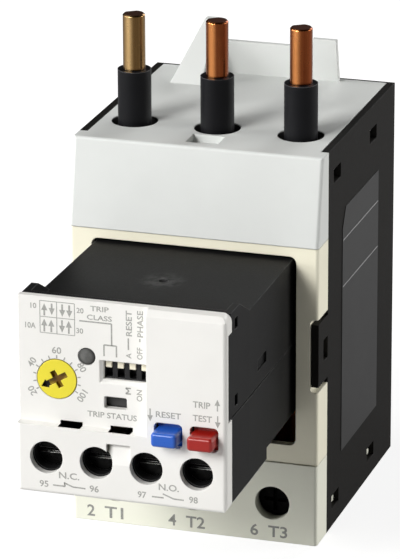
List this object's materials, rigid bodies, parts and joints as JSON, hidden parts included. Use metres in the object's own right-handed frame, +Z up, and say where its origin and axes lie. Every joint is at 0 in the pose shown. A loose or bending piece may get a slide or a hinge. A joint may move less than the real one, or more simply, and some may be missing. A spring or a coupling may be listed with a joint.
{
  "type": "electronic overload relay",
  "caption": "Contactor-mounted electronic overload relay with line pins on top, box terminals below and a plug-in control module with setting dial, switches and levers.",
  "frame": {"origin": "middle of the bounding box at its bottom, where the relay stands on its terminal side", "axes": "+X across the poles to the right as seen from the front, +Y from the fascia to the back, +Z up along the line pins"},
  "size_m": [0.055, 0.1146, 0.1098],
  "materials": {
    "cover_grey": "fine matt moulding",
    "cover_cream": "fine matt moulding",
    "cover_warm_grey": "fine matt moulding",
    "housing_black": "fine matt moulding",
    "module_black": "fine matt moulding",
    "sleeve_black": "smooth satin",
    "fascia_white": "smooth satin",
    "dial_yellow": "smooth",
    "lens_grey": "translucent smoke",
    "switch_black": "smooth",
    "slider_cream": "smooth",
    "lever_blue": "smooth",
    "lever_red": "smooth",
    "flag_orange": "smooth",
    "pin_brass": "drawn bar",
    "pin_copper": "drawn bar",
    "screw_steel": "zinc plated",
    "cage_steel": "zinc plated",
    "core_iron": "coated",
    "winding_copper": "enamelled wire",
    "board_green": "solder mask",
    "part_black": "moulded",
    "carriage_ivory": "moulded",
    "contact_brass": "rolled strip",
    "spring_steel": "spring strip",
    "magnet_steel": "plated"
  },
  "bodies": {
    "housing": {"base_housing": "housing_black", "board_connector": "part_black", "conductor_1": "pin_brass", "conductor_2": "pin_copper", "conductor_3": "pin_copper", "contact_strip_1": "contact_brass", "contact_strip_2": "contact_brass", "contact_strip_3": "contact_brass", "contact_strip_4": "contact_brass", "control_board": "board_green", "ct_core_1": "core_iron", "ct_core_2": "core_iron", "ct_core_3": "core_iron", "ct_winding_1": "winding_copper", "ct_winding_2": "winding_copper", "ct_winding_3": "winding_copper", "dial_potentiometer": "part_black", "dip_switch": "switch_black", "fascia": "fascia_white", "front_cover": "cover_cream", "module_lower_housing": "module_black", "module_upper_housing": "module_black", "pin_sleeve_1": "sleeve_black", "pin_sleeve_2": "sleeve_black", "pin_sleeve_3": "sleeve_black", "reset_spring": "spring_steel", "sensor_board": "board_green", "status_led": "lens_grey", "terminal_cover": "cover_warm_grey", "top_cover": "cover_grey", "trip_coil": "winding_copper", "trip_spring": "spring_steel", "trip_yoke": "magnet_steel"},
    "dial": {"current_dial": "dial_yellow"},
    "reset_lever": {"reset_lever": "lever_blue"},
    "trip_lever": {"trip_lever": "lever_red"},
    "trip_carriage": {"trip_carriage": "carriage_ivory", "trip_plunger": "magnet_steel", "nc_bridge": "contact_brass", "no_bridge": "contact_brass", "trip_flag": "flag_orange"},
    "dip_slider_1": {"dip_slider_1": "slider_cream"},
    "aux_screw_1": {"aux_screw_1": "screw_steel"},
    "aux_cage_1": {"aux_cage_1": "cage_steel"},
    "dip_slider_2": {"dip_slider_2": "slider_cream"},
    "aux_screw_2": {"aux_screw_2": "screw_steel"},
    "aux_cage_2": {"aux_cage_2": "cage_steel"},
    "dip_slider_3": {"dip_slider_3": "slider_cream"},
    "aux_screw_3": {"aux_screw_3": "screw_steel"},
    "aux_cage_3": {"aux_cage_3": "cage_steel"},
    "dip_slider_4": {"dip_slider_4": "slider_cream"},
    "aux_screw_4": {"aux_screw_4": "screw_steel"},
    "aux_cage_4": {"aux_cage_4": "cage_steel"},
    "terminal_screw_1": {"terminal_screw_1": "screw_steel"},
    "terminal_cage_1": {"terminal_cage_1": "cage_steel"},
    "terminal_screw_2": {"terminal_screw_2": "screw_steel"},
    "terminal_cage_2": {"terminal_cage_2": "cage_steel"},
    "terminal_screw_3": {"terminal_screw_3": "screw_steel"},
    "terminal_cage_3": {"terminal_cage_3": "cage_steel"}
  },
  "joints": [
    {"name": "dial_turn", "type": "hinge", "parent": "housing", "child": "dial", "pos_m": [-0.0143, -0.05125, 0.0504], "axis": [0, 1, 0], "range_deg": [0, 240]},
    {"name": "reset_slide", "type": "slide", "parent": "housing", "child": "reset_lever", "axis": [0, 0, -1], "range_m": [0, 0.001], "stiffness_N_per_m": 400, "springref_m": -0.001, "deforming": ["reset_spring"]},
    {"name": "trip_test_slide", "type": "slide", "parent": "housing", "child": "trip_lever", "axis": [0, 0, 1], "range_m": [-0.001, 0.001], "stiffness_N_per_m": 500, "deforming": ["trip_spring"]},
    {"name": "trip_slide", "type": "slide", "parent": "housing", "child": "trip_carriage", "axis": [0, 0, -1], "range_m": [0, 0.0025]},
    {"name": "dip_slide_1", "type": "slide", "parent": "housing", "child": "dip_slider_1", "axis": [0, 0, -1], "range_m": [0, 0.002]},
    {"name": "dip_slide_2", "type": "slide", "parent": "housing", "child": "dip_slider_2", "axis": [0, 0, -1], "range_m": [0, 0.002]},
    {"name": "dip_slide_3", "type": "slide", "parent": "housing", "child": "dip_slider_3", "axis": [0, 0, -1], "range_m": [0, 0.002]},
    {"name": "dip_slide_4", "type": "slide", "parent": "housing", "child": "dip_slider_4", "axis": [0, 0, -1], "range_m": [0, 0.002]},
    {"name": "terminal_screw_turn_1", "type": "hinge", "parent": "housing", "child": "terminal_screw_1", "pos_m": [-0.0176, -0.00125, 0.0088], "axis": [0, 1, 0], "range_deg": [0, 2340]},
    {"name": "terminal_cage_slide_1", "type": "slide", "parent": "housing", "child": "terminal_cage_1", "axis": [0, -1, 0], "range_m": [0, 0.0052]},
    {"name": "terminal_screw_turn_2", "type": "hinge", "parent": "housing", "child": "terminal_screw_2", "pos_m": [0, -0.00125, 0.0088], "axis": [0, 1, 0], "range_deg": [0, 2340]},
    {"name": "terminal_cage_slide_2", "type": "slide", "parent": "housing", "child": "terminal_cage_2", "axis": [0, -1, 0], "range_m": [0, 0.0052]},
    {"name": "terminal_screw_turn_3", "type": "hinge", "parent": "housing", "child": "terminal_screw_3", "pos_m": [0.0176, -0.00125, 0.0088], "axis": [0, 1, 0], "range_deg": [0, 2340]},
    {"name": "terminal_cage_slide_3", "type": "slide", "parent": "housing", "child": "terminal_cage_3", "axis": [0, -1, 0], "range_m": [0, 0.0052]},
    {"name": "aux_screw_turn_1", "type": "hinge", "parent": "housing", "child": "aux_screw_1", "pos_m": [-0.01605, -0.04825, 0.03395], "axis": [0, 1, 0], "range_deg": [0, 1380]},
    {"name": "aux_cage_slide_1", "type": "slide", "parent": "housing", "child": "aux_cage_1", "axis": [0, -1, 0], "range_m": [0, 0.0023]},
    {"name": "aux_screw_turn_2", "type": "hinge", "parent": "housing", "child": "aux_screw_2", "pos_m": [-0.00535, -0.04825, 0.03395], "axis": [0, 1, 0], "range_deg": [0, 1380]},
    {"name": "aux_cage_slide_2", "type": "slide", "parent": "housing", "child": "aux_cage_2", "axis": [0, -1, 0], "range_m": [0, 0.0023]},
    {"name": "aux_screw_turn_3", "type": "hinge", "parent": "housing", "child": "aux_screw_3", "pos_m": [0.00535, -0.04825, 0.03395], "axis": [0, 1, 0], "range_deg": [0, 1380]},
    {"name": "aux_cage_slide_3", "type": "slide", "parent": "housing", "child": "aux_cage_3", "axis": [0, -1, 0], "range_m": [0, 0.0023]},
    {"name": "aux_screw_turn_4", "type": "hinge", "parent": "housing", "child": "aux_screw_4", "pos_m": [0.01605, -0.04825, 0.03395], "axis": [0, 1, 0], "range_deg": [0, 1380]},
    {"name": "aux_cage_slide_4", "type": "slide", "parent": "housing", "child": "aux_cage_4", "axis": [0, -1, 0], "range_m": [0, 0.0023]}
  ],
  "couplings": [
    {"joint": "terminal_screw_turn_1", "follows": "terminal_cage_slide_1", "rad_per_m": 7854},
    {"joint": "terminal_screw_turn_2", "follows": "terminal_cage_slide_2", "rad_per_m": 7854},
    {"joint": "terminal_screw_turn_3", "follows": "terminal_cage_slide_3", "rad_per_m": 7854},
    {"joint": "aux_screw_turn_1", "follows": "aux_cage_slide_1", "rad_per_m": 10472},
    {"joint": "aux_screw_turn_2", "follows": "aux_cage_slide_2", "rad_per_m": 10472},
    {"joint": "aux_screw_turn_3", "follows": "aux_cage_slide_3", "rad_per_m": 10472},
    {"joint": "aux_screw_turn_4", "follows": "aux_cage_slide_4", "rad_per_m": 10472}
  ]
}
